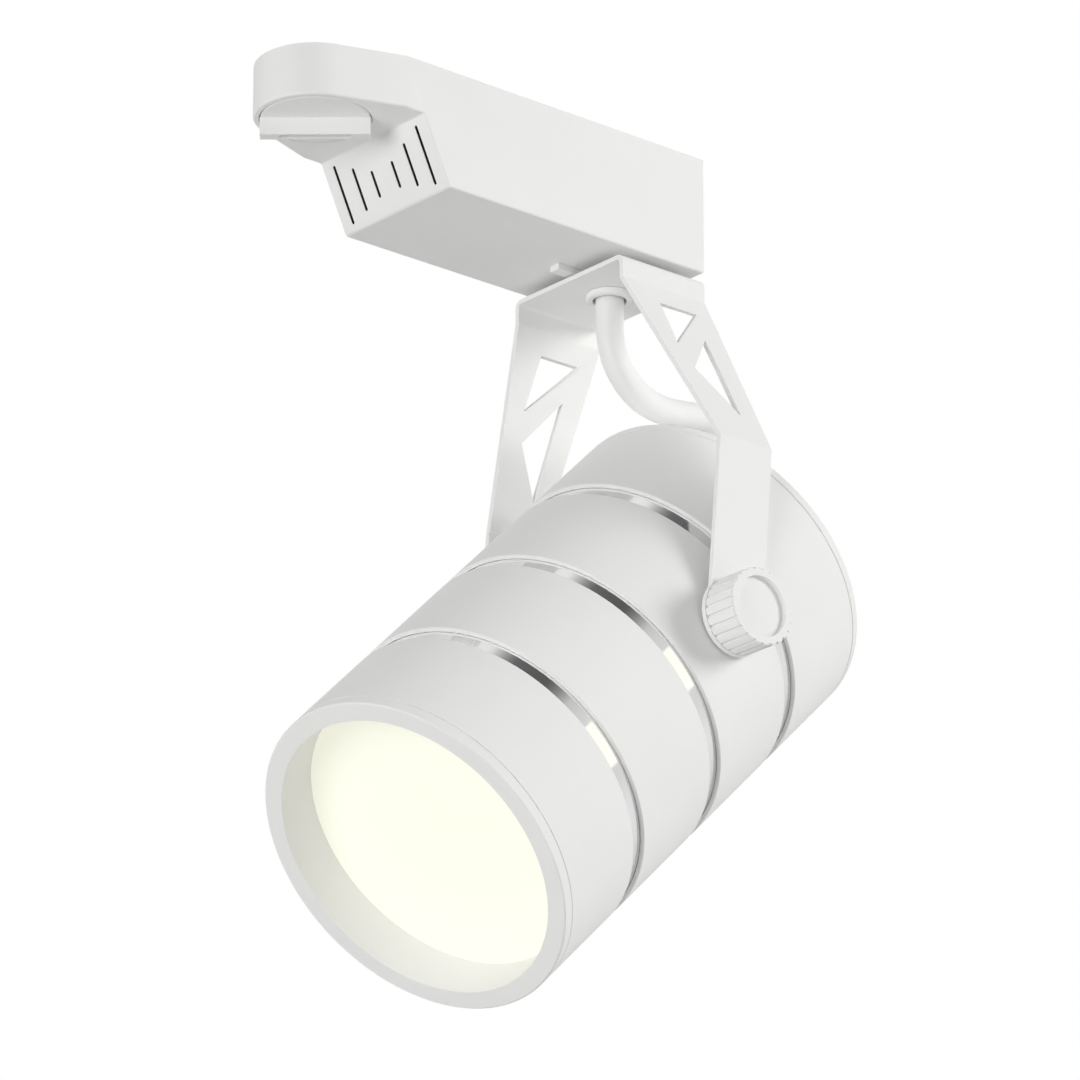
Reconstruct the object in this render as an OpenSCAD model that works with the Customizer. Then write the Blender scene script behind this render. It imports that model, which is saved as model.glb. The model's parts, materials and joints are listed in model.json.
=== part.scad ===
// Track spotlight: an adapter box that locks in a lighting track, a yoke that pans under it,
// and a drum head that tilts in the yoke. The origin is the pan axis at the face against the track.

/* [Adapter box] */
// Width of the box
box_w = 37.7; // [36:0.1:46]
// Pan axis to the square end of the box
box_tail = 13; // [12:0.5:26]
// Depth of the box over the driver
box_depth = 28.9; // [26:0.1:40]
// Depth of the nose over the dial
nose_depth = 12.8; // [11.5:0.1:16]
// Radius of the round end of the nose
nose_r = 14.3; // [14:0.1:17]
// Pan axis to the dial axis
dial_x = 88.6; // [80:0.1:110]
// Dial axis to where the sides start to taper
taper_run = 11.4; // [10:0.1:15]
// Dial axis to the top of the vented slope
slope_gap = 16.5; // [15.5:0.1:20]
// Horizontal run of the slope
slope_run = 7.6; // [5:0.1:12]
// Wall of the box
wall = 1.6; // [1.2:0.1:2]
// Thickness of the lid
lid_t = 2; // [1.6:0.1:3]

/* [Vents] */
// Width of a vent slot
vent_w = 0.8; // [0.6:0.1:1.4]
// Distance between slots
vent_pitch = 5.6; // [5:0.1:5.8]
// Middle of the slope to the innermost slots
vent_first = 3.65; // [2.5:0.05:4]
// Length of the shortest slots
vent_len = 6.5; // [4:0.1:8]
// Growth of each next slot
vent_step = 3.9; // [1:0.1:4.2]

/* [Dial and track parts] */
// Radius of the dial
dial_r = 12.7; // [11:0.1:13]
// Gap around the dial
dial_gap = 0.25; // [0.2:0.05:0.4]
// Thickness of the grip bar
grip_t = 3.1; // [2.8:0.1:5]
// Height of the grip bar
grip_h = 4.2; // [3:0.1:7]
// Angle at which the grip bar stands
grip_angle = -41; // [-90:1:0]
// Height of the parts that enter the track
track_entry = 4.5; // [4:0.1:8]
// Width of the track's slot
track_slot = 8; // [7.5:0.1:9]

/* [Pan joint] */
// Radius of the lead's way through the bush
bush_bore_r = 4; // [3.8:0.1:4.5]
// Wall of the bush
bush_wall = 0.8; // [0.7:0.1:1.2]
// Radius of the bush's flange
bush_flange_r = 5.6; // [5.4:0.1:8]
// Gap between the box and the yoke
yoke_gap = 2; // [1.8:0.1:3]
// Thickness of the stop washer
stop_t = 1.6; // [1:0.1:1.7]
// Width of the stop washer's tongue
tongue_w = 3; // [2:0.1:4]
// Reach of the tongue from the pan axis
tongue_reach = 17.1; // [15:0.1:18]
// Running clearance of a shaft in its hole
run_gap = 0.06; // [0.02:0.01:0.1]

/* [Yoke] */
// Thickness of the yoke's sheet
sheet = 1.2; // [1:0.1:1.6]
// Inner radius of the bends
bend_r = 0.8; // [0.5:0.1:2]
// Width of the web along the box
web_w = 25.4; // [22:0.1:26]
// Width of the yoke over its top flanges
yoke_top_w = 38.5; // [34:0.1:44]
// Web to the first bend
flange_h = 5.8; // [4:0.1:8]
// Web to the second bend
slope_h = 49.4; // [46:0.1:55]
// Web to the tilt axis
pivot_drop = 92.8; // [90:0.1:120]
// Tilt axis forward of the pan axis
pivot_x = 1.4; // [-3:0.1:5]
// Middle of the arms at the second bend
arm_top_x = 5.1; // [3:0.1:6]
// Width of the lower arms
arm_w = 15.8; // [14:0.1:18]
// Radius of the arms' round ends
arm_end_r = 9.4; // [9:0.1:12]
// Gap between the head and the arms
head_gap = 0.4; // [0.4:0.05:1.5]
// Rail left beside the cut-outs
rail_w = 5.7; // [5:0.1:7]
// First bend to the upper cut-out
cut_top = 5.2; // [3:0.1:7]
// Height of the upper cut-out
cut_upper_h = 12; // [8:0.1:13]
// Upper cut-out's top to the lower cut-out's top corner
cut_lower_at = 8.1; // [7:0.1:10]
// Height of the lower cut-out
cut_lower_h = 22; // [15:0.1:23]

/* [Head] */
// Radius of the head
head_r = 40; // [36:0.5:50]
// Tilt of the head below the horizontal
head_tilt = 45; // [0:1:90]
// Tilt axis to the front face
head_front = 84.5; // [82:0.1:100]
// Length of each drum
drum_len = 28.5; // [27.5:0.1:34]
// Width of the grooves between the drums
groove_w = 4.1; // [3:0.1:6]
// Depth of the grooves
groove_depth = 1; // [0.8:0.1:2]
// Wall of the core tube
core_wall = 2.5; // [2:0.1:4]
// Chamfer on the drums' edges
drum_chamfer = 0.3; // [0.2:0.1:0.6]
// Radius of the lamp opening
opening_r = 35.4; // [31:0.1:35.5]
// Front face back to the lens
lens_recess = 11.9; // [8:0.1:13]
// Thickness of the bezel's rim
bezel_rim = 2.9; // [2:0.1:4]
// Thickness of the lens
lens_t = 3; // [2:0.1:4]
// Thickness of the rear cap's rim
cap_rim = 2.2; // [2:0.1:4]
// Depth of the rear cap's middle recess
cap_recess = 5; // [3:0.1:6]
// Gap at the seams of the head
seam = 0.1; // [0.1:0.05:0.4]

/* [Tilt lock] */
// Radius of the stud and the pivot screw
stud_r = 3; // [2.5:0.1:4]
// Radius of the threaded inserts
insert_r = 5.5; // [5:0.1:7]
// Radius of the knob
knob_r = 9.2; // [8:0.1:9.2]
// Length of the knob
knob_len = 8.8; // [7:0.1:14]
// Number of flutes round the knob
knob_flutes = 24; // [12:1:30]
// Depth of the recess in the knob's face
knob_recess = 1.2; // [0.5:0.1:1.6]

/* [Lead] */
// Diameter of the lead
lead_d = 6.7; // [5:0.1:6.8]

/* [Hidden] */
$fn = 96;
eps = 0.01;
far = 200;

// Box: the slope leans back by slope_angle, and the sides taper onto the round end
slope_x = dial_x - slope_gap;
slope_angle = atan2(slope_run, box_depth - nose_depth);
taper_dist = norm([taper_run, box_w / 2]);
tangent_angle = atan2(box_w / 2, taper_run) + acos(nose_r / taper_dist);
taper_angle = tangent_angle - 90;
end_sink = 0.04;
fit_gap = 0.1;

// Lid screws stand in bosses in the corners of the tail and between the vents
boss_r = 2.2;
tail_boss_r = 3.5;
tail_boss_inset = wall + tail_boss_r - 0.5;
lid_screw_r = 1.4;
tail_boss = [box_tail - tail_boss_inset, box_w / 2 - tail_boss_inset];
nose_boss = [-slope_x + 6.1, vent_first + 1.5 * vent_pitch];

// Driver board on its posts
board_t = 1.6;
board_post_h = 3.8;
board_l = 42;
board_w = 30;
board_x = -slope_x + slope_run + 6.5;
board_z = -box_depth + wall + board_post_h;
board_top = board_z + board_t;
board_screw_r = 1.2;
board_inset = [4, 3];

// Dial, shaft and contact head
dial_proud = 0.1;
grip_slot_l = 16.5;
grip_slot_rim = 0.8;
grip_slot_depth = 1.5;
shaft_r = 4;
hub_r = 8;
hub_top = -lid_t - 0.25;
head_disc_r = 7.5;
head_bar_l = 13.2;
head_bar_w = 6;
contact_t = 0.7;
neck_h = 1.5;

// Pan stack, from the box down
bush_r = bush_bore_r + bush_wall;
washer_r = 8;
web_z = -box_depth - yoke_gap;
friction_t = yoke_gap - stop_t - 0.05;
flange_t = 1.55;
locknut_t = 3.5;
wave_t = 0.6;
stop_pin_r = 1.25;
stop_pin_x = washer_r + 2.5;

// Yoke: outer face of the arms, tilt axis and the lean of the lower arms
pivot_z = web_z - pivot_drop;
arm_in = head_r + head_gap;
arm_out = arm_in + sheet;
lower_dir = [pivot_x - arm_top_x, pivot_z - web_z + slope_h] / norm([pivot_x - arm_top_x, pivot_z - web_z + slope_h]);
lower_side = [-lower_dir[1], lower_dir[0]];

// Head, along its own axis from the tilt axis towards the front
drum_pitch = drum_len + groove_w;
rear_face = head_front - 4 * drum_len - 3 * groove_w;
seam_chamfer = 0.12;
core_r = head_r - groove_depth;
core_in = core_r - core_wall;
drum_bore = core_r + 0.05;
lens_front = head_front - lens_recess;
lens_back = lens_front - lens_t;
lens_r = opening_r + 1.9;
gasket_t = 1.2;
lip_t = 2;
lip_r = opening_r - 0.4;
core_front = lens_back - gasket_t - lip_t;
cap_floor = rear_face + cap_recess;
cap_plate = 1.6;
core_back = cap_floor + cap_plate + 2;

// Light source on the heat sink
sink_front = core_front - 33.7;
sink_base = 6;
sink_back = -10;
pad_t = 0.5;
board_side = 28;
led_board_t = 1.4;
emitter_r = 9;
emitter_t = 0.6;
holder_r = 22;
holder_t = 1.2;
led_top = sink_front + pad_t + led_board_t;
led_screw_at = 19;
reflector_back = led_top + 3.9;
wire_r = 0.7;
wire_at = [3.5, 24.5];
wire_inner_y = 16;

// Pivot parts, from the head outwards
insert_in = 26;
insert_out = head_r + 0.05;
washer_t = head_gap - 0.1;
pivot_hole_r = stud_r + run_gap;
knob_rim = 2;
knob_web = 3;
flute_r = 0.36;
flute_sink = 0.18;

// Gland and boot on the rear cap
gland_r = 6;
gland_flange_r = 9;
gland_flange_t = 3;
boot_len = 16.9;
boot_root_r = 6.6;
boot_tip_r = 4.4;
lead_hole_r = lead_d / 2 + 0.05;

// Route of the lead, [x, z] in the plane of the tilt
LEAD_ROUTE = [
    [0, -20.5], [0, -26], [0, -34], [0, -38.5], [0.2, -42], [1.2, -46.5], [3.2, -50.3],
    [6.4, -53.6], [11, -56], [17, -56.9], [24.5, -56.2], [30, -55.5], [34.5, -56], [39.5, -58.3],
    [43.3, -62.4], [45.8, -67.6], [46.2, -73.3], [44.8, -78.9], [41.5, -83.6], [36, -89.1],
    [30, -95.1], [25, -100.1]
];
LEAD_SIDES = 12;

// ---------- Shared shapes ----------

module ring(outer, inner, low, high) {
    translate([0, 0, low])
        difference() {
            cylinder(h = high - low, r = outer);
            translate([0, 0, -1])
                cylinder(h = high - low + 2, r = inner);
        }
}

module turned(points) {
    rotate_extrude()
        polygon(points);
}

module slot_shape(length, width) {
    square([length - width, width], center = true);
    for (side = [-1, 1])
        translate([side * (length - width) / 2, 0])
            circle(r = width / 2);
}

module along_y(from_y, to_y, r) {
    translate([0, from_y, 0])
        rotate([-90, 0, 0])
            cylinder(h = to_y - from_y, r = r);
}

module wire(points, r) {
    for (i = [0 : len(points) - 2]) {
        run = points[i + 1] - points[i];
        translate(points[i])
            rotate([0, acos(run[2] / norm(run)), atan2(run[1], run[0])])
                cylinder(h = norm(run), r = r, $fn = 24);
    }
    for (i = [1 : len(points) - 2])
        translate(points[i])
            sphere(r = r, $fn = 24);
}

module countersunk(length, head, shank) {
    cylinder(h = head - shank, r1 = head, r2 = shank);
    cylinder(h = length, r = shank);
}

// Places its children in the head's frame: +Z towards the front, +Y along the tilt axis
module in_head() {
    translate([pivot_x, 0, pivot_z])
        rotate([0, -90 - head_tilt, 0])
            children();
}

module at_pivot() {
    translate([pivot_x, 0, pivot_z])
        children();
}

// ---------- Adapter box ----------

// The tapered sides run end_sink below the surface of the round end
module box_plan(inset) {
    corner = [-dial_x + taper_run + inset * tan(taper_angle / 2), box_w / 2 - inset];
    reach = nose_r - inset - end_sink;
    tangent = [-dial_x + reach * cos(tangent_angle), reach * sin(tangent_angle)];
    polygon([
        [box_tail - inset, corner[1]], corner, tangent,
        [tangent[0], -tangent[1]], [corner[0], -corner[1]], [box_tail - inset, -corner[1]]
    ]);
    translate([-dial_x, 0])
        circle(r = nose_r - inset);
}

module box_side(inset, top) {
    shift = inset * (1 - sin(slope_angle)) / cos(slope_angle);
    translate([0, box_w, 0])
        rotate([90, 0, 0])
            linear_extrude(2 * box_w)
                polygon([
                    [box_tail - inset, top], [box_tail - inset, -box_depth + inset],
                    [-slope_x + slope_run + shift, -box_depth + inset],
                    [-slope_x + shift, -nose_depth + inset],
                    [-dial_x - 2 * nose_r, -nose_depth + inset], [-dial_x - 2 * nose_r, top]
                ]);
}

module box_solid(inset, top) {
    intersection() {
        translate([0, 0, -box_depth - 1])
            linear_extrude(box_depth + 1 + top)
                box_plan(inset);
        box_side(inset, top);
    }
}

module at_both_sides(at) {
    for (side = [-1, 1])
        translate([at[0], side * at[1], 0])
            children();
}

module at_lid_screws() {
    for (at = [tail_boss, nose_boss])
        at_both_sides(at)
            children();
}

module at_board_screws() {
    for (x = [board_inset[0], board_l - board_inset[0]], side = [-1, 1])
        translate([board_x + x, side * (board_w / 2 - board_inset[1]), 0])
            children();
}

module vents() {
    mid_z = -(nose_depth + box_depth) / 2;
    translate([-slope_x + slope_run / 2, 0, mid_z])
        rotate([0, -slope_angle, 0])
            for (i = [0 : 2], side = [-1, 1])
                translate([-2 * wall, side * (vent_first + i * vent_pitch), (i - 2) * 0.5])
                    rotate([0, 90, 0])
                        linear_extrude(4 * wall)
                            slot_shape(vent_len + i * vent_step, vent_w);
}

module adapter_housing() {
    color("white")
        difference() {
            union() {
                difference() {
                    box_solid(0, 0);
                    box_solid(wall, 1);
                }
                intersection() {
                    box_solid(0.5, -lid_t);
                    translate([0, 0, -box_depth])
                        union() {
                            at_both_sides(tail_boss)
                                cylinder(h = box_depth - lid_t, r = tail_boss_r, $fn = 48);
                            at_both_sides(nose_boss)
                                cylinder(h = box_depth - lid_t, r = boss_r, $fn = 48);
                        }
                }
                at_board_screws()
                    translate([0, 0, -box_depth + wall / 2])
                        cylinder(h = board_z + box_depth - wall / 2, r = boss_r, $fn = 48);
            }
            vents();
            translate([-dial_x, 0, -nose_depth - 1])
                cylinder(h = wall + 1, r = dial_r + dial_gap);
            translate([0, 0, -box_depth - 1])
                cylinder(h = wall + 2, r = bush_r);
            at_lid_screws()
                translate([0, 0, -lid_t - 7])
                    cylinder(h = 8, r = lid_screw_r, $fn = 48);
            at_board_screws()
                translate([0, 0, board_z - 3])
                    cylinder(h = 4, r = board_screw_r, $fn = 48);
        }
}

guide_l = 34;
guide_x = -46;

module guide_shape(grow) {
    translate([guide_x + guide_l / 2, 0])
        slot_shape(guide_l + 2 * grow, track_slot - 0.4 + 2 * grow);
}

module adapter_cover() {
    color("white")
        difference() {
            translate([0, 0, -lid_t])
                linear_extrude(lid_t)
                    difference() {
                        box_plan(wall + fit_gap);
                        guide_shape(fit_gap);
                        translate([-dial_x, 0])
                            circle(r = head_disc_r + run_gap);
                        at_lid_screws()
                            circle(r = lid_screw_r + fit_gap, $fn = 48);
                    }
            at_lid_screws()
                translate([0, 0, -1.3])
                    cylinder(h = 1.3 + eps, r1 = lid_screw_r, r2 = lid_screw_r + 1.31);
        }
}

module cover_screws() {
    color("silver")
        at_lid_screws()
            translate([0, 0, -0.2])
                rotate([180, 0, 0])
                    countersunk(7.5, lid_screw_r + 1.05, lid_screw_r - 0.05);
}

module track_guide() {
    color("gainsboro")
        difference() {
            union() {
                translate([0, 0, -lid_t])
                    linear_extrude(lid_t + track_entry)
                        guide_shape(0);
                translate([0, 0, -lid_t - 1.2])
                    linear_extrude(1.2)
                        guide_shape(1);
            }
            translate([guide_x + guide_l / 2, 0, track_entry - 1])
                cube([20, 2.4, 4], center = true);
        }
}

module earth_contact() {
    color("goldenrod")
        translate([guide_x + guide_l / 2 - 9.9, -1.1, track_entry - 3])
            cube([19.8, 2.2, 2.6]);
}

module driver_board() {
    color("darkgreen")
        difference() {
            translate([board_x, -board_w / 2, board_z])
                cube([board_l, board_w, board_t]);
            at_board_screws()
                translate([0, 0, board_z - 1])
                    cylinder(h = board_t + 2, r = board_screw_r + fit_gap, $fn = 48);
        }
}

module board_screws() {
    color("silver")
        at_board_screws() {
            translate([0, 0, board_z - 2.8])
                cylinder(h = board_t + 2.8, r = board_screw_r - 0.05, $fn = 32);
            translate([0, 0, board_top])
                cylinder(h = 1.2, r = 2.1, $fn = 32);
        }
}

module transformer() {
    color("dimgray")
        translate([board_x + 12, 0, board_top]) {
            translate([0, -8, 2])
                cube([18, 16, 9]);
            translate([2, -6.5, 0])
                cube([14, 13, 13]);
        }
}

module capacitors() {
    color("navy")
        for (side = [-1, 1])
            translate([board_x + 6, side * 5, board_top])
                cylinder(h = 12, r = 4, $fn = 48);
}

module terminal_block() {
    color("whitesmoke")
        difference() {
            translate([board_x + board_l - 8, -7, board_top])
                cube([7, 14, 9]);
            for (y = [-4, 0, 4])
                translate([board_x + board_l - 4, y, board_top + 4])
                    rotate([0, 90, 0])
                        cylinder(h = 5, r = 1.2, $fn = 32);
        }
}

module supply_wires() {
    color("firebrick")
        for (side = [-1, 1])
            wire([
                [-dial_x + hub_r + 1.2, side * 3, hub_top - 5],
                [board_x + 1.5, side * 3, hub_top - 5],
                [board_x + 1.5, side * 8, hub_top - 5],
                [board_x + 1.5, side * 8, board_top]
            ], 0.8);
}

module contact_springs() {
    color("goldenrod")
        for (side = [-1, 1])
            translate([-dial_x + hub_r + 0.6, side * 3 - 1.5, hub_top - 6])
                cube([0.6, 3, 6 + 0.25]);
}

module lead_cores() {
    color("firebrick")
        for (side = [-1, 0, 1])
            wire([
                [0, side * 2, LEAD_ROUTE[0][1] + 0.05],
                [0, side * 2, board_top + 4],
                [board_x + board_l - 3.9, side * 4, board_top + 4]
            ], 0.8);
}

// ---------- Pan joint ----------

module pan_bush() {
    top = -box_depth + wall + wave_t + locknut_t + 0.6;
    color("white")
        turned([
            [bush_bore_r, web_z - sheet - 0.05 - flange_t],
            [bush_flange_r - 0.4, web_z - sheet - 0.05 - flange_t],
            [bush_flange_r, web_z - sheet - 0.05 - flange_t + 0.4],
            [bush_flange_r, web_z - sheet - 0.05],
            [bush_r, web_z - sheet - 0.05],
            [bush_r, top],
            [bush_bore_r, top]
        ]);
}

module pan_locknut() {
    low = -box_depth + wall + wave_t;
    color("goldenrod")
        difference() {
            translate([0, 0, low])
                cylinder(h = locknut_t, r = washer_r, $fn = 6);
            translate([0, 0, low - 1])
                cylinder(h = locknut_t + 2, r = bush_r);
        }
}

module pan_wave_washer() {
    color("silver")
        ring(washer_r - 0.5, bush_r + fit_gap, -box_depth + wall, -box_depth + wall + wave_t);
}

module pan_stop_washer() {
    color("white")
        difference() {
            translate([0, 0, -box_depth - stop_t])
                union() {
                    cylinder(h = stop_t, r = washer_r);
                    translate([-tongue_reach, -tongue_w / 2, 0])
                        cube([tongue_reach, tongue_w, stop_t]);
                }
            translate([0, 0, -box_depth - stop_t - 1])
                cylinder(h = stop_t + 2, r = bush_r);
        }
}

module pan_friction_washer() {
    color("gainsboro")
        ring(washer_r, bush_r + fit_gap, -box_depth - stop_t - friction_t, -box_depth - stop_t);
}

// ---------- Dial ----------

module at_dial() {
    translate([-dial_x, 0, 0])
        children();
}

module locking_dial() {
    low = -nose_depth - dial_proud;
    color("white")
        at_dial()
            difference() {
                union() {
                    turned([
                        [0, low], [dial_r - 0.3, low], [dial_r, low + 0.3],
                        [dial_r, -nose_depth + wall], [dial_r - 0.5, -nose_depth + wall],
                        [dial_r - 0.5, -nose_depth + wall + 1.5], [hub_r, -nose_depth + wall + 1.5],
                        [hub_r, hub_top], [0, hub_top]
                    ]);
                    rotate([0, 0, grip_angle])
                        translate([-dial_r, -grip_t / 2, low - grip_h])
                            cube([2 * dial_r, grip_t, grip_h + 0.2]);
                }
                rotate([0, 0, grip_angle])
                    translate([0, 0, low - grip_h - 1])
                        linear_extrude(grip_slot_depth + 1)
                            slot_shape(grip_slot_l, grip_t - 2 * grip_slot_rim);
                translate([0, 0, -nose_depth + wall + 0.5])
                    cylinder(h = nose_depth, r = shaft_r);
            }
}

module dial_shaft() {
    color("silver")
        at_dial()
            ring(shaft_r, 1.5, -nose_depth + wall + 0.5, -0.5);
}

module contact_head() {
    color("gainsboro")
        at_dial()
            difference() {
                union() {
                    translate([0, 0, hub_top])
                        cylinder(h = -hub_top - 0.05, r = head_disc_r);
                    rotate([0, 0, grip_angle]) {
                        translate([0, 0, -0.1])
                            cylinder(h = neck_h + 0.2, r = head_bar_w / 2);
                        translate([-head_bar_l / 2, -head_bar_w / 2, neck_h])
                            cube([head_bar_l, head_bar_w, track_entry - neck_h]);
                    }
                }
                translate([0, 0, hub_top - 1])
                    cylinder(h = -hub_top + 0.5, r = shaft_r);
                translate([0, 0, -1])
                    cylinder(h = track_entry + 2, r = 1.5, $fn = 48);
                translate([0, 0, track_entry - 1.4])
                    cylinder(h = 1.5, r1 = 1.5, r2 = 3);
            }
}

module contact_blade() {
    at_dial()
        rotate([0, 0, grip_angle])
            translate([head_bar_l / 2, -head_bar_w / 2 + 1, neck_h + 0.5])
                cube([contact_t, head_bar_w - 2, track_entry - neck_h - 1]);
}

module live_contact() {
    color("goldenrod")
        contact_blade();
}

module neutral_contact() {
    color("goldenrod")
        translate([-2 * dial_x, 0, 0])
            rotate([0, 0, 180])
                contact_blade();
}

module dial_screw() {
    color("silver")
        at_dial() {
            translate([0, 0, track_entry - 0.2])
                rotate([180, 0, 0])
                    countersunk(track_entry + 6, 2.7, 1.4);
        }
}

// ---------- Yoke ----------

function unit(v) = v / norm(v);
function left_of(a, b) = let (d = unit(b - a)) [-d[1], d[0]];
function miter(a, b, c, t) =
    let (n = left_of(a, b), m = left_of(b, c)) b + t * (n + m) / (1 + n * m);
function offset_line(p, t) = [
    for (i = [0 : len(p) - 1])
        i == 0 ? p[0] + t * left_of(p[0], p[1])
        : i == len(p) - 1 ? p[i] + t * left_of(p[i - 1], p[i])
        : miter(p[i - 1], p[i], p[i + 1], t)
];
function bend(a, b, c, r, steps = 6) =
    let (
        u = unit(a - b), v = unit(c - b), half = acos(u * v) / 2,
        centre = b + unit(u + v) * r / sin(half),
        start = b + u * r / tan(half) - centre,
        stop = b + v * r / tan(half) - centre,
        from = atan2(start[1], start[0]),
        turn = (atan2(stop[1], stop[0]) - from + 540) % 360 - 180
    )
    [for (k = [0 : steps]) centre + r * [cos(from + turn * k / steps), sin(from + turn * k / steps)]];
function rounded_line(p, radii) = [
    for (i = [0 : len(p) - 1])
        each (radii[i] == 0 ? [p[i]] : bend(p[i - 1], p[i], p[i + 1], radii[i]))
];
function reversed(p) = [for (i = [len(p) - 1 : -1 : 0]) p[i]];

// Section across both arms, in [y, z]
module yoke_section() {
    half = [
        [yoke_top_w / 2, web_z], [yoke_top_w / 2, web_z - flange_h],
        [arm_out, web_z - slope_h], [arm_out, pivot_z - 2 * arm_end_r]
    ];
    outer = concat([for (p = reversed(half)) [-p[0], p[1]]], half);
    wide = bend_r + sheet;
    polygon(concat(
        rounded_line(outer, [0, wide, bend_r, wide, wide, bend_r, wide, 0]),
        reversed(rounded_line(offset_line(outer, -sheet), [0, bend_r, wide, bend_r, bend_r, wide, bend_r, 0]))
    ));
}

// Outline of the yoke seen along the tilt axis, in [x, z]
module yoke_outline() {
    pivot = [pivot_x, pivot_z];
    polygon([
        [web_w / 2, web_z + 1], [web_w / 2, web_z - flange_h],
        [arm_top_x + arm_w / 2, web_z - slope_h],
        pivot + lower_side * arm_w / 2, pivot - lower_side * arm_w / 2,
        [arm_top_x - arm_w / 2, web_z - slope_h],
        [-web_w / 2, web_z - flange_h], [-web_w / 2, web_z + 1]
    ]);
}

// Triangular cut-outs that leave a rail on each side and a diagonal strut
module yoke_cutouts() {
    right = web_w / 2 - rail_w;
    left = -web_w / 2 + rail_w + 3.5;
    top = web_z - flange_h - cut_top;
    lower = top - cut_lower_at;
    polygon([[left, top], [right + 0.7, top], [left, top - cut_upper_h]]);
    polygon([[right - 0.3, lower], [left + 2.1, lower - 10.6], [right + 0.3, lower - cut_lower_h]]);
}

module across_y(depth) {
    translate([0, depth / 2, 0])
        rotate([90, 0, 0])
            linear_extrude(depth)
                children();
}

module yoke_bracket() {
    color("white")
        difference() {
            union() {
                intersection() {
                    translate([-far / 2, 0, 0])
                        rotate([90, 0, 90])
                            linear_extrude(far)
                                yoke_section();
                    across_y(far)
                        yoke_outline();
                }
                at_pivot() {
                    along_y(arm_in, arm_out, arm_end_r);
                    along_y(-arm_out, -arm_in, arm_end_r);
                }
            }
            across_y(far)
                yoke_cutouts();
            at_pivot()
                along_y(-far / 2, far / 2, pivot_hole_r);
            translate([0, 0, web_z - sheet - 1])
                cylinder(h = sheet + 2, r = bush_r + run_gap);
            translate([stop_pin_x, 0, web_z - sheet - 1])
                cylinder(h = sheet + 2, r = stop_pin_r, $fn = 48);
        }
}

module stop_pin() {
    color("silver")
        translate([stop_pin_x, 0, web_z - sheet])
            cylinder(h = sheet + 1.3, r = stop_pin_r, $fn = 48);
}

module lead() {
    n = len(LEAD_ROUTE);
    rings = [
        for (i = [0 : n - 1])
            let (
                before = LEAD_ROUTE[max(i - 1, 0)],
                after = LEAD_ROUTE[min(i + 1, n - 1)],
                side = left_of(before, after)
            )
            for (k = [0 : LEAD_SIDES - 1])
                let (a = 360 * k / LEAD_SIDES, r = lead_d / 2)
                [
                    LEAD_ROUTE[i][0] + r * cos(a) * side[0],
                    r * sin(a),
                    LEAD_ROUTE[i][1] + r * cos(a) * side[1]
                ]
    ];
    walls = [
        for (i = [0 : n - 2], k = [0 : LEAD_SIDES - 1])
            let (a = i * LEAD_SIDES, b = a + LEAD_SIDES, next = (k + 1) % LEAD_SIDES)
            [a + k, b + k, b + next, a + next]
    ];
    first = [for (k = [0 : LEAD_SIDES - 1]) k];
    last = [for (k = [LEAD_SIDES - 1 : -1 : 0]) (n - 1) * LEAD_SIDES + k];
    color("white")
        polyhedron(points = rings, faces = concat(walls, [first, last]));
}

// ---------- Head ----------

module drum(index) {
    front = head_front - index * drum_pitch;
    back = front - drum_len;
    turned([
        [drum_bore, back], [head_r - drum_chamfer, back], [head_r, back + drum_chamfer],
        [head_r, front - drum_chamfer], [head_r - drum_chamfer, front], [drum_bore, front]
    ]);
}

module insert_holes() {
    along_y(-far, -insert_in, insert_r);
    along_y(insert_in, far, insert_r);
}

module bezel_ring() {
    rim = head_front - bezel_rim;
    color("white")
        in_head()
            turned([
                [opening_r, lens_front], [lens_r, lens_front], [lens_r, rim], [head_r - seam_chamfer, rim],
                [head_r, rim + seam_chamfer], [head_r, head_front - drum_chamfer],
                [head_r - drum_chamfer, head_front], [opening_r, head_front]
            ]);
}

module front_drum() {
    front = head_front - bezel_rim - seam;
    back = head_front - drum_len;
    color("white")
        in_head()
            turned([
                [drum_bore, back], [head_r - drum_chamfer, back], [head_r, back + drum_chamfer],
                [head_r, front - seam_chamfer], [head_r - seam_chamfer, front],
                [lens_r + 0.05, front], [lens_r + 0.05, core_front + lip_t],
                [lip_r, core_front + lip_t], [lip_r, core_front], [drum_bore, core_front]
            ]);
}

module second_drum() {
    color("white")
        in_head()
            drum(1);
}

module third_drum() {
    color("white")
        in_head()
            difference() {
                drum(2);
                insert_holes();
            }
}

module rear_drum() {
    front = head_front - 3 * drum_pitch;
    back = rear_face + cap_rim + seam;
    color("white")
        in_head()
            turned([
                [drum_bore, back], [head_r - seam_chamfer, back], [head_r, back + seam_chamfer],
                [head_r, front - drum_chamfer], [head_r - drum_chamfer, front], [drum_bore, front]
            ]);
}

module core_tube() {
    color("silver")
        in_head()
            difference() {
                ring(core_r, core_in, core_back, core_front);
                insert_holes();
            }
}

cap_screw_at = 27;

module at_cap_screws() {
    for (i = [0 : 2])
        rotate([0, 0, 60 + 120 * i])
            translate([cap_screw_at, 0, rear_face])
                children();
}

module rear_cap() {
    dish_r = gland_flange_r + 4;
    plate = rear_face + cap_rim;
    color("white")
        in_head()
            difference() {
                turned([
                    [gland_r, cap_floor], [dish_r, cap_floor], [dish_r + 2, rear_face],
                    [head_r - drum_chamfer, rear_face], [head_r, rear_face + drum_chamfer],
                    [head_r, plate - seam_chamfer], [head_r - seam_chamfer, plate],
                    [core_r - 0.05, plate], [core_r - 0.05, core_back - 0.1],
                    [core_in, core_back - 0.1], [core_in, plate], [dish_r + 3, plate],
                    [dish_r + 2, cap_floor + cap_plate], [gland_r, cap_floor + cap_plate]
                ]);
                at_cap_screws()
                    translate([0, 0, -1])
                        cylinder(h = cap_rim + 2, r = 1.7, $fn = 48);
            }
}

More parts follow.
